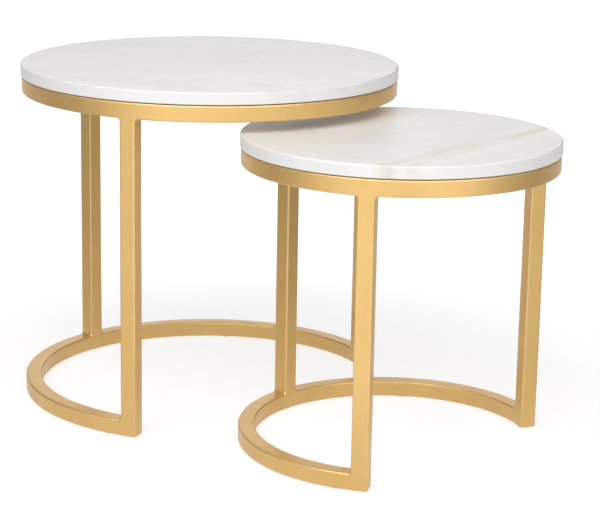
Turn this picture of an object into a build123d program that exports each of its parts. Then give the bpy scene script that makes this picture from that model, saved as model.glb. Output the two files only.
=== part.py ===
"""A pair of round marble tables on square-tube frames, the small one nesting under the large one."""

import os
from dataclasses import dataclass
from math import asin, atan2, cos, degrees, hypot, radians, sin, sqrt

from build123d import *

# Overall sizes, in millimetres and degrees
large_top_diameter = 480.0
large_height = 430.0
pull_out = 317.0  # between the two table axes, as the pair stands
nest_gap = 29.0  # all round the small top when it is pushed home
nest_headroom = 14.0  # over the small top, under the large ring
side_clearance = 11.5  # each side of the small top as it passes the large front legs
small_opening = 62.0  # half angle between the small table's front legs

# Marble tops
marble_thickness = 15.0
marble_top_round = 2.0
marble_bottom_round = 1.0
top_overhang = 1.0  # marble beyond the frame

# Square tube of the frames
tube_width = 20.0
tube_wall = 1.5
tube_corner = 2.0
vent_diameter = 8.0  # lets the finishing bath drain from the ring into each leg
foot_round = 0.8 * tube_wall  # bottom edges of the front legs, leaving a flat rim round the foot cap

# Welds, ground smooth
weld_fillet = 3.0
weld_lip = 0.4  # flat edge of a fillet against the tube it runs onto
weld_gap = 0.1
weld_reach = 0.75 * tube_corner  # how far a weld fills the rounded corner of the other tube

# Fixing tabs, screws and inserts
tab_angles = {"front_right": 45.0, "rear_right": 135.0, "rear_left": 225.0, "front_left": 315.0}
tab_width = 24.0
tab_thickness = 3.0
tab_hole_inset = 16.0  # from the ring's inner wall to the screw
screw_diameter = 5.0
screw_engagement = 7.0  # length of screw inside the insert
screw_clearance = 0.3
head_diameter = 9.5
head_height = 2.8
head_round = 1.2
hex_key = 3.0  # across flats
hex_depth = 1.6
washer_diameter = 10.0
washer_thickness = 1.0
insert_diameter = 8.0
insert_length = 9.0
thread_clearance = 0.15
glue_line = 0.2  # round the insert, and over its end

# Pads between marble and ring, and glides under the base
bumper_diameter = 10.0
bumper_thickness = 1.0
bumper_count = 6
glide_diameter = 15.0
glide_thickness = 1.5
glide_edge = 0.5
glide_stem_diameter = 6.0
glide_stem_length = 7.0
glide_clearance = 0.15
glide_count = 5
glide_end_inset = 30.0  # from a front leg's middle to the nearest glide, along the arc

# Foot caps
cap_thickness = 2.0

# Sizes of the small table that follow from the large one
stack_under_top = marble_thickness + bumper_thickness + tube_width
small_height = large_height - stack_under_top - nest_headroom
small_top_diameter = large_top_diameter - 2 * (top_overhang + tube_width + nest_gap)

# The large front legs leave the small top room to pass
large_leg_inside = large_top_diameter / 2 - top_overhang - tube_width
passage = small_top_diameter / 2 + side_clearance
large_opening = degrees(asin(passage / hypot(large_leg_inside, tube_width / 2)))
large_opening += degrees(atan2(tube_width / 2, large_leg_inside))

# The origin is on the floor at the middle of the pair
pair_length = large_top_diameter / 2 + pull_out + small_top_diameter / 2
large_axis_x = large_top_diameter / 2 - pair_length / 2
small_axis_x = large_axis_x + pull_out


@dataclass
class Table:
    name: str
    axis_x: float
    top_diameter: float
    height: float
    opening: float

    def __post_init__(self):
        self.frame_radius = self.top_diameter / 2 - top_overhang
        self.tube_line = self.frame_radius - tube_width / 2
        self.inside = self.frame_radius - tube_width
        self.marble_bottom = self.height - marble_thickness
        self.ring_top = self.marble_bottom - bumper_thickness
        self.ring_bottom = self.ring_top - tube_width
        self.arc_bottom = glide_thickness
        self.arc_top = self.arc_bottom + tube_width
        self.tab_bottom = self.ring_top - tab_thickness
        self.screw_line = self.inside - tab_hole_inset
        self.axis = Axis((self.axis_x, 0, 0), (0, 0, 1))
        self.floor = Plane(origin=(self.axis_x, 0, 0))
        self.leg_angles = {"right": self.opening, "back": 180.0, "left": -self.opening}

    def section(self, angle=0.0):
        """Upright plane through the table's axis: x runs outwards, y up."""
        turn = radians(angle)
        outward = (cos(turn), sin(turn), 0)
        facing = (sin(turn), -cos(turn), 0)
        return Plane(origin=(self.axis_x, 0, 0), x_dir=outward, z_dir=facing)

    def spot(self, angle, radius, z):
        """Level plane at a place on the table: x runs outwards, y along the ring."""
        turn = radians(angle)
        place = (self.axis_x + radius * cos(turn), radius * sin(turn), z)
        return Plane(origin=place, x_dir=(cos(turn), sin(turn), 0))

    def weld_face(self, angle, z, up):
        """Upright plane across a leg: x runs along the ring, y towards the tube it is welded to."""
        turn = radians(angle)
        place = (self.axis_x + self.tube_line * cos(turn), self.tube_line * sin(turn), z)
        along = (-up * sin(turn), up * cos(turn), 0)
        return Plane(origin=place, x_dir=along, z_dir=(cos(turn), sin(turn), 0))


def save(part, name):
    part.label = name
    export_step(part, f"parts/{name}.step")


def make_marble_top(table):
    """Slab with eased edges and blind holes underneath for the inserts."""
    radius = table.top_diameter / 2
    with BuildPart() as marble_top:
        with BuildSketch(table.floor.offset(table.marble_bottom)):
            Circle(radius)
        extrude(amount=marble_thickness)
        fillet(marble_top.edges().sort_by(Axis.Z)[-1], marble_top_round)
        fillet(marble_top.edges().sort_by(Axis.Z)[0], marble_bottom_round)
        with BuildSketch(table.floor.offset(table.marble_bottom)):
            for angle in tab_angles.values():
                with PolarLocations(table.screw_line, 1, angle):
                    Circle(insert_diameter / 2 + glue_line)
        extrude(amount=insert_length + glue_line, mode=Mode.SUBTRACT)
    save(marble_top.part, f"{table.name}_marble_top")


def make_top_ring(table):
    """Closed ring of square tube, drilled where each leg is welded on."""
    middle = (table.tube_line, table.ring_top - tube_width / 2)
    with BuildPart() as top_ring:
        with BuildSketch(table.section()):
            with Locations(middle):
                RectangleRounded(tube_width, tube_width, tube_corner)
                bore = tube_width - 2 * tube_wall
                Rectangle(bore, bore, mode=Mode.SUBTRACT)
        revolve(axis=table.axis)
        with BuildSketch(table.floor.offset(table.ring_bottom)):
            for angle in table.leg_angles.values():
                with PolarLocations(table.tube_line, 1, angle):
                    Circle(vent_diameter / 2)
        extrude(amount=tube_wall, mode=Mode.SUBTRACT)
    save(top_ring.part, f"{table.name}_top_ring")


def make_leg(table, side):
    """Upright tube, coped to the rounded corners of the ring, with weld fillets on its flanks.

    The back leg stands on the arc. A front leg runs to the bottom of the base, and the weld to the arc's
    end fills its rounded corners there and the corner over the arc.
    """
    angle = table.leg_angles[side]
    arc_side = {"right": 1, "back": 0, "left": -1}[side]
    on_arc = arc_side == 0
    foot = table.arc_top - weld_reach if on_arc else table.arc_bottom
    head = table.ring_bottom + weld_reach
    place = table.spot(angle, table.tube_line, foot)
    arc_flanks = (-1, 1) if on_arc else (-arc_side,)
    welds = [(table.ring_bottom, 1, (-1, 1)), (table.arc_top, -1, arc_flanks)]
    with BuildPart() as leg:
        with BuildSketch(place):
            RectangleRounded(tube_width, tube_width, tube_corner)
        extrude(amount=head - foot)
        if not on_arc:
            with BuildSketch(place):
                with Locations((0, arc_side * tube_width / 4)):
                    Rectangle(tube_width, tube_width / 2)
            extrude(amount=tube_width - tube_corner)
            towards_arc = Axis(place.origin, place.y_dir * arc_side)
            bottom = leg.faces().sort_by(Axis.Z)[0]
            fillet(bottom.edges().sort_by(towards_arc)[:-1], foot_round)
        for z, up, flanks in welds:
            with BuildSketch(table.weld_face(angle, z, up)):
                for flank in flanks:
                    with BuildLine():
                        weld_outline(flank)
                    make_face()
            extrude(amount=tube_width / 2 - tube_corner, both=True)
        with BuildSketch(place):
            Rectangle(tube_width - 2 * tube_wall, tube_width - 2 * tube_wall)
        extrude(amount=head - foot, mode=Mode.SUBTRACT)
        with BuildSketch(table.section()):
            with Locations((table.tube_line, table.ring_bottom + tube_width / 2)):
                RectangleRounded(tube_width, tube_width, tube_corner)
            if on_arc:
                with Locations((table.tube_line, table.arc_top - tube_width / 2)):
                    RectangleRounded(tube_width, tube_width, tube_corner)
        revolve(axis=table.axis, mode=Mode.SUBTRACT)
    save(leg.part, f"{table.name}_{side}_leg")


def weld_outline(flank):
    """Fillet on one flank of a leg, 1 or -1: x away from the leg's middle, y up to the tube it runs onto."""
    wall = tube_width / 2
    tip = wall + weld_fillet
    foot = -weld_lip - weld_fillet
    hollow = weld_fillet * sqrt(0.5)
    Polyline(
        (flank * wall, foot),
        (flank * (wall - tube_wall / 2), foot),
        (flank * (wall - tube_wall / 2), 0),
        (flank * tip, 0),
        (flank * tip, -weld_lip),
    )
    ThreePointArc((flank * tip, -weld_lip), (flank * (tip - hollow), foot + hollow), (flank * wall, foot))


def make_base_arc(table):
    """Rolled tube on the floor, cut to butt against both front legs and drilled for the glides."""
    middle = (table.tube_line, table.arc_bottom + tube_width / 2)
    with BuildPart() as base_arc:
        with BuildSketch(table.section(table.opening)):
            with Locations(middle):
                RectangleRounded(tube_width, tube_width, tube_corner)
                bore = tube_width - 2 * tube_wall
                Rectangle(bore, bore, mode=Mode.SUBTRACT)
        revolve(axis=table.axis, revolution_arc=360 - 2 * table.opening)
        for side in ("right", "left"):
            with BuildSketch(table.spot(table.leg_angles[side], table.tube_line, table.arc_bottom)):
                Rectangle(2 * tube_width, tube_width)
            extrude(amount=tube_width, mode=Mode.SUBTRACT)
        with BuildSketch(table.floor.offset(table.arc_bottom)):
            with glide_places(table):
                Circle(glide_stem_diameter / 2 + glide_clearance)
        extrude(amount=tube_wall, mode=Mode.SUBTRACT)
    save(base_arc.part, f"{table.name}_base_arc")


def glide_places(table):
    """Evenly spaced places along the arc, kept in from its ends."""
    first = table.opening + degrees(glide_end_inset / table.tube_line)
    return PolarLocations(
        table.tube_line, glide_count, first, 360 - 2 * first, rotate=False, endpoint=True
    )


def make_foot_cap(table, side):
    """Plate set flush in the open bottom end of a front leg."""
    with BuildPart() as foot_cap:
        with BuildSketch(table.spot(table.leg_angles[side], table.tube_line, table.arc_bottom)):
            Rectangle(tube_width - 2 * tube_wall, tube_width - 2 * tube_wall)
        extrude(amount=cap_thickness)
    save(foot_cap.part, f"{table.name}_{side}_foot_cap")


def make_tab(table, corner):
    """Round-nosed tab welded to the inner wall of the ring, level with the ring's top."""
    half = tab_width / 2
    wall = table.inside - weld_gap
    shoulder = sqrt(wall**2 - half**2)
    with BuildPart() as tab:
        with BuildSketch(table.spot(tab_angles[corner], 0, table.tab_bottom)):
            with BuildLine():
                ThreePointArc((shoulder, -half), (wall, 0), (shoulder, half))
                Line((shoulder, half), (table.screw_line, half))
                ThreePointArc(
                    (table.screw_line, half),
                    (table.screw_line - half, 0),
                    (table.screw_line, -half),
                )
                Line((table.screw_line, -half), (shoulder, -half))
            make_face()
            with Locations((table.screw_line, 0)):
                Circle(screw_diameter / 2 + screw_clearance, mode=Mode.SUBTRACT)
        extrude(amount=tab_thickness)
    save(tab.part, f"{table.name}_{corner}_tab")


def make_fixings(table):
    """Screws, washers and inserts, a group of each, one at every tab."""
    under_washer = table.tab_bottom - washer_thickness
    screw_end = table.marble_bottom + screw_engagement
    hex_radius = hex_key / 2 / cos(radians(30))
    with BuildPart() as screws:
        for angle in tab_angles.values():
            with BuildSketch(table.spot(angle, table.screw_line, under_washer - head_height)):
                Circle(head_diameter / 2)
            extrude(amount=head_height)
            with BuildSketch(table.spot(angle, table.screw_line, under_washer)):
                Circle(screw_diameter / 2)
            extrude(amount=screw_end - under_washer)
        fillet(screws.edges().group_by(Axis.Z)[0], head_round)
        for angle in tab_angles.values():
            with BuildSketch(table.spot(angle, table.screw_line, under_washer - head_height)):
                RegularPolygon(hex_radius, 6)
            extrude(amount=hex_depth, mode=Mode.SUBTRACT)
    save(screws.part, f"{table.name}_top_screws")
    with BuildPart() as washers:
        for angle in tab_angles.values():
            with BuildSketch(table.spot(angle, table.screw_line, under_washer)):
                Circle(washer_diameter / 2)
                Circle(screw_diameter / 2 + screw_clearance, mode=Mode.SUBTRACT)
            extrude(amount=washer_thickness)
    save(washers.part, f"{table.name}_screw_washers")
    with BuildPart() as inserts:
        for angle in tab_angles.values():
            with BuildSketch(table.spot(angle, table.screw_line, table.marble_bottom)):
                Circle(insert_diameter / 2)
                Circle(screw_diameter / 2 + thread_clearance, mode=Mode.SUBTRACT)
            extrude(amount=insert_length)
    save(inserts.part, f"{table.name}_threaded_inserts")


def make_pads(table):
    """Clear bumpers on the ring under the marble, and push-in glides under the base."""
    with BuildPart() as bumpers:
        with BuildSketch(table.floor.offset(table.ring_top)):
            with PolarLocations(table.tube_line, bumper_count):
                Circle(bumper_diameter / 2)
        extrude(amount=bumper_thickness)
    save(bumpers.part, f"{table.name}_top_bumpers")
    with BuildPart() as glides:
        with BuildSketch(table.floor):
            with glide_places(table):
                Circle(glide_diameter / 2)
        extrude(amount=glide_thickness)
        chamfer(glides.edges().group_by(Axis.Z)[0], glide_edge)
        with BuildSketch(table.floor.offset(glide_thickness)):
            with glide_places(table):
                Circle(glide_stem_diameter / 2)
        extrude(amount=glide_stem_length)
    save(glides.part, f"{table.name}_floor_glides")


def make_table(table):
    make_marble_top(table)
    make_top_ring(table)
    for side in table.leg_angles:
        make_leg(table, side)
    make_base_arc(table)
    for side in ("right", "left"):
        make_foot_cap(table, side)
    for corner in tab_angles:
        make_tab(table, corner)
    make_fixings(table)
    make_pads(table)


os.makedirs("parts", exist_ok=True)
make_table(Table("large", large_axis_x, large_top_diameter, large_height, large_opening))
make_table(Table("small", small_axis_x, small_top_diameter, small_height, small_opening))
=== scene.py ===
import math

import bmesh
import bpy
from mathutils import Matrix, Vector


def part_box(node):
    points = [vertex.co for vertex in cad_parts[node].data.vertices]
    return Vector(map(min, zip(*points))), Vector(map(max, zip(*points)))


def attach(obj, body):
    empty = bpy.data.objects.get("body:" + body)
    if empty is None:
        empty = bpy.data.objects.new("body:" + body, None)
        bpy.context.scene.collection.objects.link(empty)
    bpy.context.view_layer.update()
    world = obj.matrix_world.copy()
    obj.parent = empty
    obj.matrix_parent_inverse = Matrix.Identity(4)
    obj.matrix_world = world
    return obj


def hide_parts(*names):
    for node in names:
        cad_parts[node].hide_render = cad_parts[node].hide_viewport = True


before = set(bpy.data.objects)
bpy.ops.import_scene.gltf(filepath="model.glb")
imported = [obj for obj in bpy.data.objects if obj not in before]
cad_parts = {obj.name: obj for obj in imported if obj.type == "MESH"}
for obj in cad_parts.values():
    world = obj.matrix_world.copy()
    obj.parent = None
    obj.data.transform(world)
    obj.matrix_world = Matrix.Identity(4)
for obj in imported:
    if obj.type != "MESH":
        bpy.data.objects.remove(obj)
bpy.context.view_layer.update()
scene = bpy.context.scene
scene.view_settings.view_transform = "Standard"


# small helpers for node trees, used by finishes, stage and pieces

white = (1.0, 1.0, 1.0)
noiseSpan = (0.3, 0.7)  # most of what a noise gives lies between these


def nodeMaker(tree):
    def make(kind, inputs=(), **settings):
        node = tree.nodes.new(kind)
        for key, value in settings.items():
            setattr(node, key, value)
        for name, value in dict(inputs).items():
            socket = node.inputs[name]
            if isinstance(value, bpy.types.NodeSocket):
                tree.links.new(value, socket)
            elif socket.type == "RGBA":
                socket.default_value = (*value, 1.0)
            else:
                socket.default_value = value
        return node
    return make


def calc(make, operation, *values):
    node = make("ShaderNodeMath", dict(enumerate(values)), operation=operation)
    return node.outputs["Value"]


def calcVector(make, operation, *values):
    node = make("ShaderNodeVectorMath", dict(enumerate(values)), operation=operation)
    return node.outputs["Value" if operation in ("DOT_PRODUCT", "LENGTH") else "Vector"]


def mapped(make, place, settings):
    return make("ShaderNodeMapping", {"Vector": place} | settings).outputs["Vector"]


def noise(make, place, settings, output="Fac"):
    return make("ShaderNodeTexNoise", {"Vector": place} | settings).outputs[output]


def remap(make, value, span, levels=(0.0, 1.0), smooth=False):
    # the span of a value becomes the levels, and is held at its ends
    inputs = {"Value": value, "From Min": span[0], "From Max": span[1],
              "To Min": levels[0], "To Max": levels[1]}
    shape = "SMOOTHSTEP" if smooth else "LINEAR"
    return make("ShaderNodeMapRange", inputs, interpolation_type=shape).outputs["Result"]


def greyRamp(make, value, stops):
    node = make("ShaderNodeValToRGB", {"Fac": value})
    elements = node.color_ramp.elements
    while len(elements) < len(stops):
        elements.new(1.0)
    for element, (place, level) in zip(elements, stops):
        element.position = place
        element.color = (level, level, level, 1.0)
    return node.outputs["Color"]


def mixColor(make, share, first, second, blend="MIX"):
    inputs = {"Factor": share, "A": first, "B": second}
    return make("ShaderNodeMix", inputs, data_type="RGBA", blend_type=blend).outputs["Result"]


def mixLevel(make, share, first, second):
    return make("ShaderNodeMix", {"Factor": share, "A": first, "B": second}).outputs["Result"]


def bump(make, height, strength, depth):
    node = make("ShaderNodeBump", {"Height": height, "Strength": strength, "Distance": depth})
    return node.outputs["Normal"]


def newMaterial(name):
    material = bpy.data.materials.new(name)
    material.use_nodes = True
    material.node_tree.nodes.clear()
    return material, nodeMaker(material.node_tree)


def finishMaterial(material, make, shader):
    output = make("ShaderNodeOutputMaterial")
    material.node_tree.links.new(shader, output.inputs["Surface"])
    return material


# where each table stands, read from the frame

def tablePlan(name):
    marbleLow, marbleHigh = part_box(f"{name}_marble_top")
    ringLow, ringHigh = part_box(f"{name}_top_ring")
    arcLow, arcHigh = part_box(f"{name}_base_arc")
    axis = Vector(((marbleLow.x + marbleHigh.x) / 2, 0.0, 0.0))
    tube = ringHigh.z - ringLow.z
    legAngles = {"back": math.pi}
    for side in ("left", "right"):
        low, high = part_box(f"{name}_{side}_foot_cap")
        spot = (low + high) / 2 - axis
        legAngles[side] = math.atan2(spot.y, spot.x)
    return {
        "name": name,
        "body": f"{name}_table",
        "axis": axis,
        "height": marbleHigh.z,
        "marbleBottom": marbleLow.z,
        "ringTop": ringHigh.z,
        "ringBottom": ringLow.z,
        "arcTop": arcHigh.z,
        "arcBottom": arcLow.z,
        "tube": tube,
        "tubeLine": (ringHigh.x - ringLow.x) / 2 - tube / 2,  # radius of the tube's middle
        "legAngles": legAngles,
    }


tables = [tablePlan("large"), tablePlan("small")]
print("tables measured:", [(t["name"], round(t["height"], 3)) for t in tables])


# marble

marbleLook = {
    "paleColor": (0.808, 0.797, 0.783),
    "cloudColor": (0.744, 0.734, 0.721),
    "veinColor": (0.63, 0.615, 0.595),
    "streakColor": (0.66, 0.545, 0.40),
    "rustColor": (0.52, 0.37, 0.21),
    "drawnOut": (1.0, 0.32, 0.6),  # clouds and veins are long in the vein direction
    "clouds": {"Scale": 13.0, "Detail": 5.0, "Roughness": 0.55, "Distortion": 0.6},
    "cloudStops": ((0.40, 0.0), (0.72, 1.0)),
    "warp": {"Scale": 5.0, "Detail": 3.0},
    "warpReach": (0.16, 0.16, 0.16),
    "veins": {"Scale": 9.0, "Detail": 2.0, "Roughness": 0.45},
    "veinMiddle": 0.5,
    "veinStops": ((0.0, 0.40), (0.012, 0.16), (0.045, 0.0)),  # share by the distance from a vein's middle
    "comeAndGo": {"Scale": 7.5, "Detail": 2.0},
    "showSpan": (0.47, 0.66),
    # one warm streak, in strands that part and meet
    "wander": {"Scale": 16.0, "Detail": 4.0, "Roughness": 0.6},
    "sway": 0.045,
    "patches": {"Scale": 17.0, "Detail": 3.0},
    "patchSpan": (0.36, 0.62),
    "patchLeast": 0.1,
    "strands": (
        {"shift": 0.0, "lean": 0.0, "width": 0.018, "amount": 0.44, "color": "streakColor"},
        {"shift": 0.016, "lean": 0.06, "width": 0.012, "amount": 0.34, "color": "streakColor"},
        {"shift": 0.001, "lean": 0.01, "width": 0.003, "amount": 0.20, "color": "rustColor"},
    ),
    # only the top is polished: below it the stone is honed
    "polish": {"Scale": 40.0, "Detail": 4.0},
    "roughness": (0.28, 0.38),
    "honedTint": (0.955, 0.955, 0.955),
    "honedRoughness": 0.14,
    "honedDrops": (0.0022, 0.0006),  # wholly honed and wholly polished, this far below the top
    "ior": 1.55,
    "specular": 0.4,
    "grain": {"Scale": 700.0, "Detail": 3.0},
    "grainDepth": 0.0004,
    "bump": 0.04,
}
largeMarble = {"turn": math.radians(62.0), "drift": (0.31, 0.12, 0.0), "streak": 0.22, "streakAt": -0.115}
smallMarble = {"turn": math.radians(-2.5), "drift": (0.0, 0.0, 0.0), "streak": 1.0, "streakAt": 0.097}


def marbleMaterial(plan, slab):
    look = marbleLook
    material, make = newMaterial(f"{plan['name']}Marble")
    place = make("ShaderNodeTexCoord").outputs["Object"]
    # pattern's own x runs across the veins and y along them, from the table's axis
    centred = mapped(make, place, {"Location": -plan["axis"]})
    turned = mapped(make, centred, {"Rotation": (0, 0, slab["turn"])})
    drifted = mapped(make, turned, {"Location": slab["drift"]})
    drawnOut = mapped(make, drifted, {"Scale": look["drawnOut"]})

    cloud = greyRamp(make, noise(make, drawnOut, look["clouds"]), look["cloudStops"])
    color = mixColor(make, cloud, look["paleColor"], look["cloudColor"])

    # hairline veins where a warped noise crosses its middle
    warp = noise(make, drifted, look["warp"], "Color")
    warped = calcVector(make, "ADD", drawnOut, calcVector(make, "MULTIPLY", warp, look["warpReach"]))
    offMiddle = calc(make, "SUBTRACT", noise(make, warped, look["veins"]), look["veinMiddle"])
    vein = greyRamp(make, calc(make, "ABSOLUTE", offMiddle), look["veinStops"])
    # they come and go, so that no line closes into a loop
    showing = remap(make, noise(make, drifted, look["comeAndGo"]), look["showSpan"], smooth=True)
    color = mixColor(make, calc(make, "MULTIPLY", vein, showing), color, look["veinColor"])

    # the streak runs along one line across the slab
    axes = make("ShaderNodeSeparateXYZ", {"Vector": turned}).outputs
    sway = calc(make, "MULTIPLY_ADD", noise(make, drawnOut, look["wander"]), look["sway"], axes["X"])
    across = calc(make, "SUBTRACT", sway, slab["streakAt"] + look["sway"] / 2)
    patches = noise(make, drifted, look["patches"])
    for strand in look["strands"]:
        lean = calc(make, "MULTIPLY_ADD", axes["Y"], strand["lean"], across)
        away = calc(make, "ABSOLUTE", calc(make, "SUBTRACT", lean, strand["shift"]))
        band = remap(make, away, (0.0, strand["width"]), (1.0, 0.0), smooth=True)
        levels = (look["patchLeast"] * slab["streak"], strand["amount"] * slab["streak"])
        patch = remap(make, patches, look["patchSpan"], levels)
        color = mixColor(make, calc(make, "MULTIPLY", band, patch), color, look[strand["color"]])

    level = make("ShaderNodeSeparateXYZ", {"Vector": place}).outputs["Z"]
    honedSpan = [plan["height"] - drop for drop in look["honedDrops"]]
    honed = remap(make, level, honedSpan, (1.0, 0.0), smooth=True)
    polish = remap(make, noise(make, place, look["polish"]), noiseSpan, look["roughness"])
    shader = make("ShaderNodeBsdfPrincipled", {
        "Base Color": mixColor(make, honed, color, look["honedTint"], "MULTIPLY"),
        "Roughness": calc(make, "MULTIPLY_ADD", honed, look["honedRoughness"], polish),
        "Normal": bump(make, noise(make, place, look["grain"]), look["bump"], look["grainDepth"]),
        "IOR": look["ior"], "Specular IOR Level": look["specular"]})
    return finishMaterial(material, make, shader.outputs["BSDF"])


# gold finish of the frames

goldLook = {
    "color": (0.762, 0.493, 0.184),
    "deepColor": (0.692, 0.432, 0.144),
    "edgeWearAndHighlightColor": (0.80, 0.56, 0.25),
    "tone": {"Scale": 22.0, "Detail": 4.0, "Roughness": 0.6},
    "toneSpan": (0.38, 0.66),
    "toneLevels": (0.0, 0.55),
    "scuffs": {"Scale": 120.0, "Detail": 5.0, "Roughness": 0.7},
    "scuffSpan": (0.42, 0.7),
    "scuffAndHighlightLevels": (0.15, 0.8),
    "metallic": 0.72,
    "coat": 0.25,
    "coatRoughness": 0.25,
    "roughness": (0.34, 0.44),
    "flecks": {"Scale": 900.0, "Detail": 2.0},
    "fleckDepth": 0.0003,
    "bump": 0.06,
}


def goldMaterial():
    look = goldLook
    material, make = newMaterial("satinGold")
    place = make("ShaderNodeTexCoord").outputs["Object"]
    tone = noise(make, place, look["tone"])
    deep = remap(make, tone, look["toneSpan"], look["toneLevels"])
    body = mixColor(make, deep, look["color"], look["deepColor"])
    # the rounded edges, marked on the mesh, are painted brighter in patches: partly rubbed wear, partly a
    # painted highlight
    edge = make("ShaderNodeAttribute", attribute_name="edge").outputs["Fac"]
    scuff = remap(make, noise(make, place, look["scuffs"]), look["scuffSpan"], look["scuffAndHighlightLevels"])
    shader = make("ShaderNodeBsdfPrincipled", {
        "Base Color": mixColor(make, calc(make, "MULTIPLY", edge, scuff), body, look["edgeWearAndHighlightColor"]),
        "Metallic": look["metallic"], "Roughness": remap(make, tone, noiseSpan, look["roughness"]),
        "Normal": bump(make, noise(make, place, look["flecks"]), look["bump"], look["fleckDepth"]),
        "Coat Weight": look["coat"], "Coat Roughness": look["coatRoughness"]})
    return finishMaterial(material, make, shader.outputs["BSDF"])


# finishes of the fixings

metalLook = {
    "bloom": {"Scale": 260.0, "Detail": 5.0, "Roughness": 0.65},
    "dullSpan": (0.40, 0.68),
    "grain": {"Scale": 2600.0, "Detail": 3.0},
    "grainDepth": 0.0002,
}
zincLook = metalLook | {
    "color": (0.62, 0.63, 0.64),
    "dullColor": (0.44, 0.455, 0.47),
    "roughness": (0.22, 0.42),
    "bump": 0.10,
}
brassLook = metalLook | {
    "color": (0.74, 0.55, 0.24),
    "dullColor": (0.50, 0.34, 0.13),
    "roughness": (0.26, 0.46),
    "bump": 0.12,
}
nylonLook = {
    "color": (0.80, 0.79, 0.76),
    "greyColor": (0.70, 0.69, 0.66),
    "clouds": {"Scale": 180.0, "Detail": 4.0},
    "scuffColor": (0.50, 0.48, 0.45),
    "scuffs": {"Scale": 1800.0, "Detail": 3.0},
    "scuffRun": {"Rotation": (0, 0, 0.6), "Scale": (1.0, 0.08, 1.0)},
    "scuffSpan": (0.50, 0.66),
    "scuffAmount": 0.3,
    "scuffHeight": 0.0005,  # scuffs fade out this far above the floor
    "roughness": (0.40, 0.58),
    "grain": {"Scale": 2200.0, "Detail": 2.0},
    "grainDepth": 0.0002,
    "bump": 0.15,
}
padLook = {
    "color": (0.93, 0.95, 0.94),
    "cloudColor": (0.84, 0.87, 0.86),
    "clouds": {"Scale": 420.0, "Detail": 4.0},
    "cloudDepth": 0.0002,
    "transmission": 0.85,
    "ior": 1.47,
    "roughness": (0.10, 0.26),
    "bump": 0.05,
}


def metalMaterial(name, look):
    material, make = newMaterial(name)
    place = make("ShaderNodeTexCoord").outputs["Object"]
    bloom = noise(make, place, look["bloom"])
    dull = remap(make, bloom, look["dullSpan"])
    shader = make("ShaderNodeBsdfPrincipled", {
        "Base Color": mixColor(make, dull, look["color"], look["dullColor"]), "Metallic": 1.0,
        "Roughness": remap(make, bloom, noiseSpan, look["roughness"]),
        "Normal": bump(make, noise(make, place, look["grain"]), look["bump"], look["grainDepth"])})
    return finishMaterial(material, make, shader.outputs["BSDF"])


def nylonMaterial():
    look = nylonLook
    material, make = newMaterial("mouldedNylon")
    place = make("ShaderNodeTexCoord").outputs["Object"]
    cloud = noise(make, place, look["clouds"])
    body = mixColor(make, cloud, look["color"], look["greyColor"])
    # fine scuffs across the face that slides on the floor
    scratch = noise(make, mapped(make, place, look["scuffRun"]), look["scuffs"])
    height = make("ShaderNodeSeparateXYZ", {"Vector": place}).outputs["Z"]
    nearFloor = remap(make, height, (0.0, look["scuffHeight"]), (look["scuffAmount"], 0.0))
    scuff = calc(make, "MULTIPLY", remap(make, scratch, look["scuffSpan"]), nearFloor)
    shader = make("ShaderNodeBsdfPrincipled", {
        "Base Color": mixColor(make, scuff, body, look["scuffColor"]),
        "Roughness": remap(make, cloud, noiseSpan, look["roughness"]),
        "Normal": bump(make, noise(make, place, look["grain"]), look["bump"], look["grainDepth"])})
    return finishMaterial(material, make, shader.outputs["BSDF"])


def padMaterial():
    look = padLook
    material, make = newMaterial("clearPad")
    place = make("ShaderNodeTexCoord").outputs["Object"]
    cloud = noise(make, place, look["clouds"])
    shader = make("ShaderNodeBsdfPrincipled", {
        "Base Color": mixColor(make, cloud, look["color"], look["cloudColor"]),
        "Transmission Weight": look["transmission"], "IOR": look["ior"],
        "Roughness": remap(make, cloud, noiseSpan, look["roughness"]),
        "Normal": bump(make, cloud, look["bump"], look["cloudDepth"])})
    return finishMaterial(material, make, shader.outputs["BSDF"])


# stage: floor, world, lamps and camera

stageLook = {
    "floorSize": 14.0,
    "floorColor": (0.34, 0.34, 0.34),
    "glow": (0.72, 1.0),  # what the camera sees: round the tables, and far off
    "glowSpan": (0.35, 1.1),
    "floorBounce": 0.57,
    "ambient": 0.33,
    "frontAzimuth": 44.0,  # the side that the studio faces
    # what reflections show, by degrees round from the front: white ahead and behind, dimmer sides
    "floorLevels": ((0, 0.73), (35, 1.0), (65, 0.18), (90, 0.0), (120, 0.30), (180, 0.90)),
    "wallLevels": ((0, 1.0), (60, 0.9), (120, 0.0), (180, 1.0)),
    "nearShadeLevel": 0.51,  # and what they show of the floor round the tables: dimmer there, a painted shade under the tables
    "nearShadeSpan": (0.35, 0.6),
}
lampAim = Vector((0.0, 0.0, 0.25))
keyLamp = {"distance": 2.9, "azimuth": 14.0, "elevation": 42.0, "size": 2.6, "power": 49.0}
fillLamp = {"distance": 2.9, "azimuth": 74.0, "elevation": 42.0, "size": 2.6, "power": 39.5}
cameraPlace = {
    "distance": 2.53685,  # level distance from the large table's axis
    "height": 0.81142,
    "azimuth": math.radians(44.702),
    "yaw": math.radians(2.6792),
    "pitch": math.radians(14.0902),
    "roll": math.radians(1.0183),
    "lens": 120.04,
    "sensor": 36.0,
}


def backdropRays(make):
    # 1 for rays that show the backdrop: camera, glossy and transmission
    rays = make("ShaderNodeLightPath").outputs
    shown = calc(make, "MAXIMUM", rays["Is Camera Ray"], rays["Is Glossy Ray"])
    return calc(make, "MAXIMUM", shown, rays["Is Transmission Ray"])


def glossyRays(make):
    return make("ShaderNodeLightPath").outputs["Is Glossy Ray"]


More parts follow.
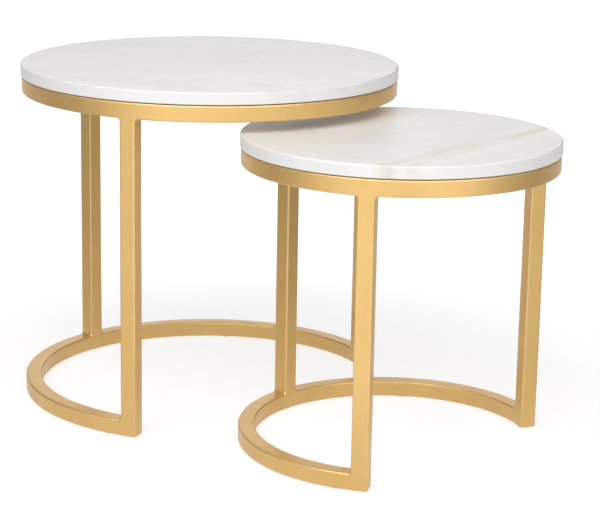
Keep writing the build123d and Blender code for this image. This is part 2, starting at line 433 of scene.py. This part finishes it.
def roundTheRoom(make, spot, levels):
    # level by the angle from the studio's front, alike on both sides
    front = math.radians(stageLook["frontAzimuth"])
    across = calcVector(make, "DOT_PRODUCT", spot, (math.cos(front), math.sin(front), 0.0))
    ahead = calcVector(make, "DOT_PRODUCT", spot, (math.sin(front), -math.cos(front), 0.0))
    away = calc(make, "ABSOLUTE", calc(make, "ARCTAN2", across, ahead))
    share = calc(make, "DIVIDE", away, math.pi)
    return greyRamp(make, share, [(degrees / 180, level) for degrees, level in levels])


def makeWorld():
    world = bpy.data.worlds.new("studio")
    world.use_nodes = True
    world.node_tree.nodes.clear()
    make = nodeMaker(world.node_tree)
    direction = make("ShaderNodeTexCoord").outputs["Generated"]
    walls = roundTheRoom(make, direction, stageLook["wallLevels"])
    shown = mixLevel(make, glossyRays(make), 1.0, walls)
    level = mixLevel(make, backdropRays(make), stageLook["ambient"], shown)
    sky = make("ShaderNodeBackground", {"Color": white, "Strength": level})
    output = make("ShaderNodeOutputWorld")
    world.node_tree.links.new(sky.outputs["Background"], output.inputs["Surface"])
    scene.world = world


def makeFloor():
    bpy.ops.mesh.primitive_plane_add(size=stageLook["floorSize"])
    floor = bpy.context.object
    floor.name = "studioFloor"
    material, make = newMaterial("paleFloor")
    place = make("ShaderNodeTexCoord").outputs["Object"]
    reach = calcVector(make, "LENGTH", place)
    sweep = roundTheRoom(make, place, stageLook["floorLevels"])
    # the floor round the tables is dimmer in reflections: painted shade under the tables
    outside = remap(make, reach, stageLook["nearShadeSpan"], smooth=True)
    mirrored = mixLevel(make, outside, stageLook["nearShadeLevel"], sweep)
    seen = remap(make, reach, stageLook["glowSpan"], stageLook["glow"], smooth=True)
    shown = mixLevel(make, glossyRays(make), seen, mirrored)
    level = mixLevel(make, backdropRays(make), stageLook["floorBounce"], shown)
    glow = make("ShaderNodeEmission", {"Color": white, "Strength": level})
    matte = make("ShaderNodeBsdfDiffuse", {"Color": stageLook["floorColor"]})
    lit = make("ShaderNodeAddShader", {0: matte.outputs["BSDF"], 1: glow.outputs["Emission"]})
    side = make("ShaderNodeNewGeometry")  # seen from below, the floor is clear
    clear = make("ShaderNodeBsdfTransparent")
    oneSided = make("ShaderNodeMixShader", {
        0: side.outputs["Backfacing"], 1: lit.outputs["Shader"], 2: clear.outputs["BSDF"]})
    floor.data.materials.append(finishMaterial(material, make, oneSided.outputs["Shader"]))


def addLamp(name, look):
    around, up = math.radians(look["azimuth"]), math.radians(look["elevation"])
    toward = Vector((math.sin(around) * math.cos(up), -math.cos(around) * math.cos(up), math.sin(up)))
    data = bpy.data.lights.new(name, "AREA")
    data.shape = "DISK"
    data.size = look["size"]
    data.energy = look["power"]
    lamp = bpy.data.objects.new(name, data)
    lamp.location = lampAim + toward * look["distance"]
    lamp.rotation_mode = "QUATERNION"
    lamp.rotation_quaternion = (-toward).to_track_quat("-Z", "Y")
    scene.collection.objects.link(lamp)


def makeCamera():
    data = bpy.data.cameras.new("photoCamera")
    data.sensor_width = cameraPlace["sensor"]
    data.lens = cameraPlace["lens"]
    camera = bpy.data.objects.new("photoCamera", data)
    around, reach = cameraPlace["azimuth"], cameraPlace["distance"]
    away = Vector((math.sin(around) * reach, -math.cos(around) * reach, cameraPlace["height"]))
    heading = Matrix.Rotation(around - cameraPlace["yaw"], 4, "Z")
    tilt = Matrix.Rotation(math.pi / 2 - cameraPlace["pitch"], 4, "X")
    roll = Matrix.Rotation(cameraPlace["roll"], 4, "Z")
    camera.matrix_world = Matrix.Translation(tables[0]["axis"] + away) @ heading @ tilt @ roll
    scene.collection.objects.link(camera)
    scene.camera = camera


makeWorld()
makeFloor()
addLamp("keyLamp", keyLamp)
addLamp("fillLamp", fillLamp)
makeCamera()
print("stage set")


# mesh helpers: lofts through loops of points, and node-built pieces turned into plain meshes

sharpFrom = math.radians(38.0)  # edges that turn by more than this are shaded sharp


def dressPiece(piece, plan, node):
    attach(piece, plan["body"])
    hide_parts(f"{plan['name']}_{node}")


def loftMesh(name, loops, edges=None, joined=False):
    # loops all have the same count of points; the ends are closed by fans, or joined to each other
    build = bmesh.new()
    rings = [[build.verts.new(point) for point in loop] for loop in loops]
    count = len(rings[0])
    for lower, upper in zip(rings, rings[1:] + rings[:1] if joined else rings[1:]):
        for i in range(count):
            j = (i + 1) % count
            build.faces.new((lower[i], lower[j], upper[j], upper[i]))
    for ring, turned in () if joined else ((rings[0], True), (rings[-1], False)):
        middle = build.verts.new(sum((vert.co for vert in ring), Vector()) / count)
        for i in range(count):
            j = (i + 1) % count
            build.faces.new((middle, ring[j], ring[i]) if turned else (middle, ring[i], ring[j]))
    bmesh.ops.recalc_face_normals(build, faces=build.faces)
    mesh = bpy.data.meshes.new(name)
    build.to_mesh(mesh)
    build.free()
    mesh.polygons.foreach_set("use_smooth", [True] * len(mesh.polygons))
    mesh.set_sharp_from_angle(angle=sharpFrom)
    if edges:
        values = [value for loop in edges for value in loop] + [0.0, 0.0]  # no edge mark, of wear and painted highlight, at the fans' middles
        mesh.attributes.new("edge", "FLOAT", "POINT").data.foreach_set("value", values)
    return mesh


def nodeTree(name, inputs):
    tree = bpy.data.node_groups.new(name, "GeometryNodeTree")
    for label, kind in inputs.items():
        tree.interface.new_socket(label, in_out="INPUT", socket_type=f"NodeSocket{kind}")
    tree.interface.new_socket("Geometry", in_out="OUTPUT", socket_type="NodeSocketGeometry")
    return tree, nodeMaker(tree)


def endTree(tree, make, geometry, finish):
    real = make("GeometryNodeRealizeInstances", {"Geometry": geometry})
    painted = make("GeometryNodeSetMaterial", {"Geometry": real.outputs["Geometry"], "Material": finish})
    output = make("NodeGroupOutput")
    tree.links.new(painted.outputs["Geometry"], output.inputs["Geometry"])
    return tree


def bakeTree(name, tree, values):
    piece = bpy.data.objects.new(name, bpy.data.meshes.new(f"{name}Seed"))
    scene.collection.objects.link(piece)
    modifier = piece.modifiers.new("build", "NODES")
    modifier.node_group = tree
    for item in tree.interface.items_tree:
        if item.in_out == "INPUT":
            modifier[item.identifier] = values[item.name]
    graph = bpy.context.evaluated_depsgraph_get()
    mesh = bpy.data.meshes.new_from_object(piece.evaluated_get(graph), depsgraph=graph)
    mesh.name = name
    piece.modifiers.clear()
    piece.data = mesh
    return piece


# rolled square tube: the top rings and the base arcs

tubeShape = {
    "corner": 0.002,
    "profilePoints": 64,
    "wheel": 0.75,  # radius of the circle that becomes the profile, in tube widths
    "wearAndHighlightFull": 0.5,  # the edge mark, rubbed wear and painted highlight, is full where the face has turned by this sine
    "ringSteps": 240,
    "arcBite": 0.006,  # arc ends run this far into the front legs
    "arcInset": 0.00002,  # keeps the arc's faces just inside those of the legs
}


def rolledTubeTree():
    tree, make = nodeTree("rolledTube", {
        "Centre": "Vector", "Tube line": "Float", "Closed": "Bool", "Start": "Float", "Sweep": "Float",
        "Steps": "Int", "Width": "Float", "Corner": "Float", "Profile points": "Int",
        "Finish": "Material"})
    given = make("NodeGroupInput").outputs
    line = {"Resolution": given["Steps"], "Radius": given["Tube line"]}
    ring = make("GeometryNodeCurvePrimitiveCircle", line).outputs["Curve"]
    arc = make("GeometryNodeCurveArc", line | {
        "Start Angle": given["Start"], "Sweep Angle": given["Sweep"]}).outputs["Curve"]
    path = make("GeometryNodeSwitch", {"Switch": given["Closed"], "False": arc, "True": ring},
                input_type="GEOMETRY").outputs["Output"]
    upright = make("GeometryNodeSetCurveNormal", {"Curve": path}, mode="Z_UP").outputs["Curve"]

    # a circle pressed onto a square core, then pushed out by the corner radius
    wheel = make("GeometryNodeCurvePrimitiveCircle", {
        "Resolution": given["Profile points"],
        "Radius": calc(make, "MULTIPLY", given["Width"], tubeShape["wheel"])}).outputs["Curve"]
    core = calc(make, "SUBTRACT", calc(make, "MULTIPLY", given["Width"], 0.5), given["Corner"])
    place = make("GeometryNodeInputPosition").outputs["Position"]
    capped = calcVector(make, "MINIMUM", place, core)
    held = calcVector(make, "MAXIMUM", capped, calc(make, "MULTIPLY", core, -1.0))
    outward = calcVector(make, "NORMALIZE", calcVector(make, "SUBTRACT", place, held))
    pressed = calcVector(make, "MULTIPLY_ADD", outward, given["Corner"], held)
    bend = make("ShaderNodeSeparateXYZ", {"Vector": calcVector(make, "ABSOLUTE", outward)}).outputs
    # edge mark for the gold finish: rubbed wear and a painted highlight on the rounded corners
    wearAndHighlight = remap(make, calc(make, "MINIMUM", bend["X"], bend["Y"]), (0.0, tubeShape["wearAndHighlightFull"]))
    marked = make("GeometryNodeStoreNamedAttribute", {"Geometry": wheel, "Name": "edge", "Value": wearAndHighlight},
                  data_type="FLOAT").outputs["Geometry"]
    profile = make("GeometryNodeSetPosition", {"Geometry": marked, "Position": pressed})

    tube = make("GeometryNodeCurveToMesh", {
        "Curve": upright, "Profile Curve": profile.outputs["Geometry"], "Fill Caps": True}).outputs["Mesh"]
    smooth = make("GeometryNodeSetShadeSmooth", {"Geometry": tube}).outputs["Geometry"]
    moved = make("GeometryNodeTransform", {"Geometry": smooth, "Translation": given["Centre"]})
    return endTree(tree, make, moved.outputs["Geometry"], given["Finish"])


def makeRolledTubes(plan, tree):
    fullTurn = 2 * math.pi
    shared = {"Tube line": plan["tubeLine"], "Corner": tubeShape["corner"],
              "Profile points": tubeShape["profilePoints"], "Finish": gold}

    middle = (plan["ringTop"] + plan["ringBottom"]) / 2
    ring = bakeTree(f"{plan['name']}TopRing", tree, shared | {
        "Centre": plan["axis"] + Vector((0, 0, middle)), "Width": plan["tube"],
        "Closed": True, "Start": 0.0, "Sweep": fullTurn, "Steps": tubeShape["ringSteps"]})
    dressPiece(ring, plan, "top_ring")

    middle = (plan["arcTop"] + plan["arcBottom"]) / 2
    start = plan["legAngles"]["right"] + (plan["tube"] / 2 - tubeShape["arcBite"]) / plan["tubeLine"]
    sweep = fullTurn - 2 * start
    arc = bakeTree(f"{plan['name']}BaseArc", tree, shared | {
        "Centre": plan["axis"] + Vector((0, 0, middle)),
        "Width": plan["tube"] - 2 * tubeShape["arcInset"], "Closed": False, "Start": start, "Sweep": sweep,
        "Steps": round(tubeShape["ringSteps"] * sweep / fullTurn)})
    dressPiece(arc, plan, "base_arc")


# legs: upright square tube that flares into its welds

legShape = {
    "corner": 0.002,
    "cornerSteps": 6,
    "cornerWearAndHighlight": 0.4,  # edge mark of rubbed wear and painted highlight at the ends of a rounded corner, full in its middle
    "support": 0.0007,  # points this far in from a rounded corner keep the flats flat
    "weldRadius": 0.0035,
    "weldSteps": 8,
    "seamDrop": 0.0001,  # the leg keeps its own outline up to this far below the arc's rounded edge
    "buried": 0.00025,  # the ends close this far inside the ring or the arc
    "footRound": 0.0012,
    "footSteps": 4,
    "pocketHalf": 0.00855,  # open end round the foot cap
    "pocketCorner": 0.0002,
    "pocketDepth": 0.0024,
}


def squareLoop(half, corner):
    # (outwards, along the ring, edge) round one level of a leg
    points = []
    flat, steps = half - corner, legShape["cornerSteps"]
    inside = flat - legShape["support"]
    for quarter in range(4):
        turn = Matrix.Rotation(quarter * math.pi / 2, 2)
        side = [(half, -inside, 0.0), (half, 0.0, 0.0), (half, inside, 0.0)]
        for i in range(steps + 1):
            angle = i / steps * math.pi / 2
            # edge mark on the leg's rounded corners: rubbed wear and a painted highlight
            wearAndHighlight = min(1.0, 2 * min(i, steps - i) / steps + legShape["cornerWearAndHighlight"])
            side.append((flat + corner * math.cos(angle), flat + corner * math.sin(angle), wearAndHighlight))
        for x, y, edge in side:
            spot = turn @ Vector((x, y))
            points.append((spot.x, spot.y, edge))
    return points


def weldRows(z, up, sides):
    # levels of a leg that runs into a tube: up is 1 under the ring and -1 on the base arc
    steps = legShape["weldSteps"]
    turns = [i / steps * math.pi / 2 for i in range(steps + 1)]
    return [{"z": z, "up": up, "sides": sides, "turn": turn} for turn in turns]


def weldSpot(row, half, y):
    # where a point of the plain outline goes in a weld: along the ring, and up
    radius, turn, up, corner = legShape["weldRadius"], row["turn"], row["up"], legShape["corner"]
    level = row["z"] - up * radius * (1 - math.sin(turn))

    def flankSpot(side, depth):
        # depth is in from the flank, square to the weld's curve, so the rounded edge follows the weld
        if not row["sides"][side]:
            return half - depth, level
        flare = radius * (1 - math.cos(turn))
        return half + flare - depth * math.cos(turn), level + up * depth * math.sin(turn)

    flat = half - corner
    if abs(y) >= flat:
        along, z = flankSpot(int(y > 0), half - abs(y))
        return math.copysign(along, y), z
    share = (y / flat + 1) / 2  # across the face, from one rounded edge to the other
    (low, lowZ), (high, highZ) = (flankSpot(side, corner) for side in (0, 1))
    return (low + high) * share - low, lowZ + (highZ - lowZ) * share


def buriedRow(row):
    return row | {"z": row["z"] + row["up"] * legShape["buried"], "inset": legShape["buried"]}


def footRows(foot):
    # pocket for the cap, then the rounded bottom edge
    pocket = {"half": legShape["pocketHalf"], "corner": legShape["pocketCorner"]}
    rows = [pocket | {"z": foot + legShape["pocketDepth"]}, pocket | {"z": foot}]
    for i in range(legShape["footSteps"] + 1):
        angle = i / legShape["footSteps"] * math.pi / 2
        inset = legShape["footRound"] * (1 - math.sin(angle))
        rows.append({"z": foot + legShape["footRound"] * (1 - math.cos(angle)), "inset": inset,
                     "corner": legShape["corner"] - inset, "hug": 1.0})
    return rows


def legRows(plan, side):
    arcSides = {"right": (0, 1), "left": (1, 0), "back": (1, 1)}[side]
    onArc = weldRows(plan["arcTop"], -1, arcSides)[::-1]
    underRing = weldRows(plan["ringBottom"], 1, (1, 1))
    if side == "back":
        start = [buriedRow(onArc[0])]
    else:
        start = footRows(plan["arcBottom"])
        start.append({"z": plan["arcTop"] - legShape["corner"] - legShape["seamDrop"], "hug": 1.0})
    return start + onArc + underRing + [buriedRow(underRing[-1])]


def makeLeg(plan, side):
    half, line, angle = plan["tube"] / 2, plan["tubeLine"], plan["legAngles"][side]
    outward = Vector((math.cos(angle), math.sin(angle), 0))
    along = Vector((-math.sin(angle), math.cos(angle), 0))
    loops, edges = [], []
    for row in legRows(plan, side):
        rowHalf = row.get("half", half) - row.get("inset", 0.0)
        outline = squareLoop(rowHalf, row.get("corner", legShape["corner"]))
        hug = row.get("hug", math.sin(row.get("turn", 0.0)))  # 1 follows the ring's curve, 0 is straight
        loop = []
        for x, y, edge in outline:
            t, z = weldSpot(row, rowHalf, y) if "turn" in row else (y, row["z"])
            x -= hug * t * t / 2 / line
            loop.append(plan["axis"] + outward * (line + x) + along * t + Vector((0, 0, z)))
        loops.append(loop)
        edges.append([edge for x, y, edge in outline])
    mesh = loftMesh(f"{plan['name']}{side.title()}Leg", loops, edges)
    mesh.materials.append(gold)
    leg = bpy.data.objects.new(mesh.name, mesh)
    scene.collection.objects.link(leg)
    dressPiece(leg, plan, f"{side}_leg")


# fixings: each is modelled once, then set at even steps round its table

threadShape = {"rise": 1.6, "rootFlat": 0.3}  # flanks steep enough to leave flats at crest and root
screwShape = {
    "head": 0.0095,
    "headHeight": 0.0028,
    "rim": 0.0004,  # straight edge below the domed head
    "rimSoft": 0.00004,
    "crown": 0.0022,  # radius of the flat round the socket
    "domeSteps": 8,
    "key": 0.003,  # across the socket's flats
    "keyDepth": 0.0016,
    "keyLead": 0.0002,  # chamfer at the socket's mouth
    "thread": 0.005,
    "root": 0.0042,
    "pitch": 0.0008,
    "taper": 0.5,  # how fast the crest falls away towards the tip
    "tip": 0.85,  # radius of the tip, as a share of the root's
    "columns": 24,
    "rowsPerTurn": 6,
    "firstAngle": math.radians(45.0),
    "count": 4,
}
washerShape = {
    "hole": 0.0056,
    "outer": 0.010,
    "thick": 0.001,
    "soft": 0.00015,
    "softSteps": 4,
    "columns": 40,
}
insertShape = {
    "outer": 0.008,
    "bore": 0.0053,
    "length": 0.009,
    "flange": 0.0009,
    "waist": (0.0040, 0.0050),  # plain groove between the two knurled bands
    "nose": 0.0009,  # plain length at the far end
    "groove": 0.00045,
    "knurl": 0.0003,
    "ridges": 16,
    "pitch": 0.0008,
    "threadDepth": 0.0003,
    "columns": 64,
    "rowsPerTurn": 5,
    "plainRows": 2,  # rows without thread at each end of the bore
}
bumperShape = {"outer": 0.010, "bulge": 0.0005, "columns": 36, "rows": 8, "count": 6}
glideShape = {
    "outer": 0.015,
    "thick": 0.0015,
    "soft": 0.0008,  # rounding of the edge that slides on the floor
    "softSteps": 6,
    "backSoft": 0.00016,
    "stem": 0.006,
    "stemLength": 0.007,
    "neckRise": 0.0004,
    "barbs": 3,
    "barbFrom": 0.00064,  # above the disc
    "barbTo": 0.00096,  # below the stem's end
    "barbDepth": 0.0004,
    "barbFlat": 0.2,  # shares of one barb's length: its straight part, and where its slope ends
    "barbSlope": 0.95,
    "tip": 0.75,  # radius of the tip, as a share of the neck's
    "columns": 40,
    "count": 5,
    "endInset": 0.030,  # along the arc, from a front leg to the nearest glide
}


def turnedMesh(name, rows, columns, joined=False):
    # a row is a height and a radius, or a rule that gives the radius at an angle
    loops = []
    for height, radius in rows:
        loop = []
        for i in range(columns):
            angle = 2 * math.pi * i / columns
            reach = radius(angle) if callable(radius) else radius
            loop.append(Vector((reach * math.cos(angle), reach * math.sin(angle), height)))
        loops.append(loop)
    return loftMesh(name, loops, joined=joined)


def hexRadius(flats):
    side = math.pi / 3
    return lambda angle: flats / 2 / math.cos(angle % side - side / 2)


def threadRadius(root, crest, pitch, height):
    def radius(angle):
        phase = (height / pitch - angle / (2 * math.pi)) % 1.0
        share = threadShape["rise"] * (1 - abs(2 * phase - 1)) - threadShape["rootFlat"]
        return root + (crest - root) * min(1.0, max(0.0, share))
    return radius


def knurlRadius(outer):
    depth, ridges = insertShape["knurl"], insertShape["ridges"]
    return lambda angle: outer - depth * (0.5 - 0.5 * math.cos(ridges * angle))


def screwMesh(length):
    # seat of the head at height 0, head below it and thread above it
    shape = screwShape
    head, height, rim, crown = shape["head"] / 2, shape["headHeight"], shape["rim"], shape["crown"]
    key, lead, soft = hexRadius(shape["key"]), shape["keyLead"], shape["rimSoft"]
    rows = [(shape["keyDepth"] - height, key), (lead - height, key)]
    rows.append((-height, shape["key"] / 2 + 2 * lead))
    for i in range(shape["domeSteps"] + 1):
        turn = i / shape["domeSteps"] * math.pi / 2
        rows.append((-rim - (height - rim) * math.cos(turn), crown + (head - crown) * math.sin(turn)))
    root, crest, pitch = shape["root"] / 2, shape["thread"] / 2, shape["pitch"]
    rows += [(-soft, head), (0.0, head - soft), (0.0, crest), (pitch / 2, root)]
    levels = math.ceil(length / pitch * shape["rowsPerTurn"])
    for i in range(shape["rowsPerTurn"], levels):
        z = length * i / levels
        tapered = min(crest, root + (length - z) * shape["taper"])
        rows.append((z, threadRadius(root, tapered, pitch, z)))
    rows.append((length, shape["tip"] * root))
    return turnedMesh("screwSample", rows, shape["columns"])


def washerMesh():
    # section of a flat ring with rounded corners, from its outer bottom edge round
    shape = washerShape
    soft, steps = shape["soft"], shape["softSteps"]
    inner, outer, top = shape["hole"] / 2 + soft, shape["outer"] / 2 - soft, shape["thick"] - soft
    rows = []
    for corner, (reach, height) in enumerate(((outer, soft), (outer, top), (inner, top), (inner, soft))):
        for i in range(steps + 1):
            turn = (corner - 1 + i / steps) * math.pi / 2
            rows.append((height + soft * math.sin(turn), reach + soft * math.cos(turn)))
    return turnedMesh("washerSample", rows, shape["columns"], joined=True)


def insertMesh():
    shape = insertShape
    outer, bore, length, flange = shape["outer"] / 2, shape["bore"] / 2, shape["length"], shape["flange"]
    step, groove, threadRoot = shape["knurl"], outer - shape["groove"], bore + shape["threadDepth"]
    knurled = knurlRadius(outer)
    rows = [(0.0, outer - step / 2), (step / 2, outer), (flange, outer), (flange, groove)]
    for low, high in ((flange + step, shape["waist"][0]), (shape["waist"][1], length - shape["nose"])):
        rows += [(low, groove), (low + step, knurled), (high - step, knurled), (high, groove)]
    rows += [(length - step, groove), (length, groove - step), (length, threadRoot)]
    levels, plain = round(length / shape["pitch"] * shape["rowsPerTurn"]), shape["plainRows"]
    for i in range(levels - plain, plain - 1, -1):
        z = length * i / levels
        rows.append((z, threadRadius(bore, threadRoot, shape["pitch"], z)))
    rows.append((0.0, threadRoot))
    return turnedMesh("insertSample", rows, shape["columns"], joined=True)


def bumperMesh(thick):
    # pressed flat between ring and marble, so its side bulges
    outer, bulge = bumperShape["outer"] / 2, bumperShape["bulge"]
    rows = []
    for i in range(bumperShape["rows"] + 1):
        turn = (i / bumperShape["rows"] - 0.5) * math.pi
        rows.append((thick / 2 * (1 + math.sin(turn)), outer - bulge * (1 - math.cos(turn))))
    return turnedMesh("bumperSample", rows, bumperShape["columns"])


def glideMesh():
    shape = glideShape
    outer, thick, soft, stem = shape["outer"] / 2, shape["thick"], shape["soft"], shape["stem"] / 2
    neck, backSoft, tip = stem - shape["barbDepth"], shape["backSoft"], thick + shape["stemLength"]
    rows = []
    for i in range(shape["softSteps"] + 1):
        turn = i / shape["softSteps"] * math.pi / 2
        rows.append((soft * (1 - math.cos(turn)), outer - soft * (1 - math.sin(turn))))
    rows += [(thick - backSoft, outer), (thick, outer - backSoft)]
    rows += [(thick, stem), (thick + shape["neckRise"], neck)]
    pitch = (shape["stemLength"] - shape["barbFrom"] - shape["barbTo"]) / shape["barbs"]
    for i in range(shape["barbs"]):
        foot = thick + shape["barbFrom"] + pitch * i
        rows += [(foot, stem), (foot + shape["barbFlat"] * pitch, stem)]
        rows.append((foot + shape["barbSlope"] * pitch, neck))
    rows.append((tip, shape["tip"] * neck))
    return turnedMesh("glideSample", rows, shape["columns"])


def spacedTree():
    tree, make = nodeTree("spacedRound", {
        "Sample": "Object", "Centre": "Vector", "Radius": "Float", "Count": "Int", "First": "Float",
        "Step": "Float", "Finish": "Material"})
    given = make("NodeGroupInput").outputs
    index = make("GeometryNodeInputIndex").outputs["Index"]
    angle = calc(make, "MULTIPLY_ADD", index, given["Step"], given["First"])
    heading = make("ShaderNodeCombineXYZ", {
        "X": calc(make, "COSINE", angle), "Y": calc(make, "SINE", angle)}).outputs["Vector"]
    place = calcVector(make, "MULTIPLY_ADD", heading, given["Radius"], given["Centre"])
    points = make("GeometryNodePoints", {"Count": given["Count"], "Position": place})
    turn = make("FunctionNodeAxisAngleToRotation", {"Axis": (0, 0, 1), "Angle": angle})
    sample = make("GeometryNodeObjectInfo", {"Object": given["Sample"]})
    copies = make("GeometryNodeInstanceOnPoints", {
        "Points": points.outputs[0], "Instance": sample.outputs["Geometry"],
        "Rotation": turn.outputs["Rotation"]})
    return endTree(tree, make, copies.outputs["Instances"], given["Finish"])


def makeFixings(plan, tree):
    low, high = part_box(f"{plan['name']}_top_screws")
    seat = low.z + screwShape["headHeight"]
    screwLine = ((high.x - low.x - screwShape["head"]) / 2) / math.cos(screwShape["firstAngle"])
    glideFirst = plan["legAngles"]["right"] + glideShape["endInset"] / plan["tubeLine"]
    atTabs = {"Radius": screwLine, "Count": screwShape["count"], "First": screwShape["firstAngle"],
              "Step": 2 * math.pi / screwShape["count"]}
    onRing = {"Radius": plan["tubeLine"], "Count": bumperShape["count"], "First": 0.0,
              "Step": 2 * math.pi / bumperShape["count"]}
    onArc = {"Radius": plan["tubeLine"], "Count": glideShape["count"], "First": glideFirst,
             "Step": (2 * math.pi - 2 * glideFirst) / (glideShape["count"] - 1)}

    floor, under, onTop = 0.0, plan["marbleBottom"], plan["ringTop"]
    fixings = (
        ("TopScrews", "top_screws", "zinc_steel", zinc, screwMesh(high.z - seat), seat, atTabs),
        ("ScrewWashers", "screw_washers", "zinc_steel", zinc, washerMesh(), seat, atTabs),
        ("ThreadedInserts", "threaded_inserts", "insert_brass", brass, insertMesh(), under, atTabs),
        ("TopBumpers", "top_bumpers", "clear_pad", clearPad, bumperMesh(under - onTop), onTop, onRing),
        ("FloorGlides", "floor_glides", "white_nylon", nylon, glideMesh(), floor, onArc),
    )
    for piece, node, slot, finish, mesh, level, spacing in fixings:
        sample = bpy.data.objects.new(mesh.name, mesh)
        scene.collection.objects.link(sample)
        copies = bakeTree(f"{plan['name']}{piece}", tree, spacing | {
            "Sample": sample, "Centre": plan["axis"] + Vector((0, 0, level)), "Finish": finish})
        bpy.data.objects.remove(sample)
        dressPiece(copies, plan, node)


gold = goldMaterial()
zinc = metalMaterial("zincPlate", zincLook)
brass = metalMaterial("insertBrass", brassLook)
nylon = nylonMaterial()
clearPad = padMaterial()
for plan, slab in zip(tables, (largeMarble, smallMarble)):
    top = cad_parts[f"{plan['name']}_marble_top"]
    top.data.materials[0] = marbleMaterial(plan, slab)
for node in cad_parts.values():
    if node.data.materials[0].name.startswith("gold_frame"):
        node.data.materials[0] = gold
print("materials set")

tubeTree = rolledTubeTree()
for plan in tables:
    makeRolledTubes(plan, tubeTree)
    for side in plan["legAngles"]:
        makeLeg(plan, side)
print("frames built")

placesRound = spacedTree()
for plan in tables:
    makeFixings(plan, placesRound)
print("fixings set")
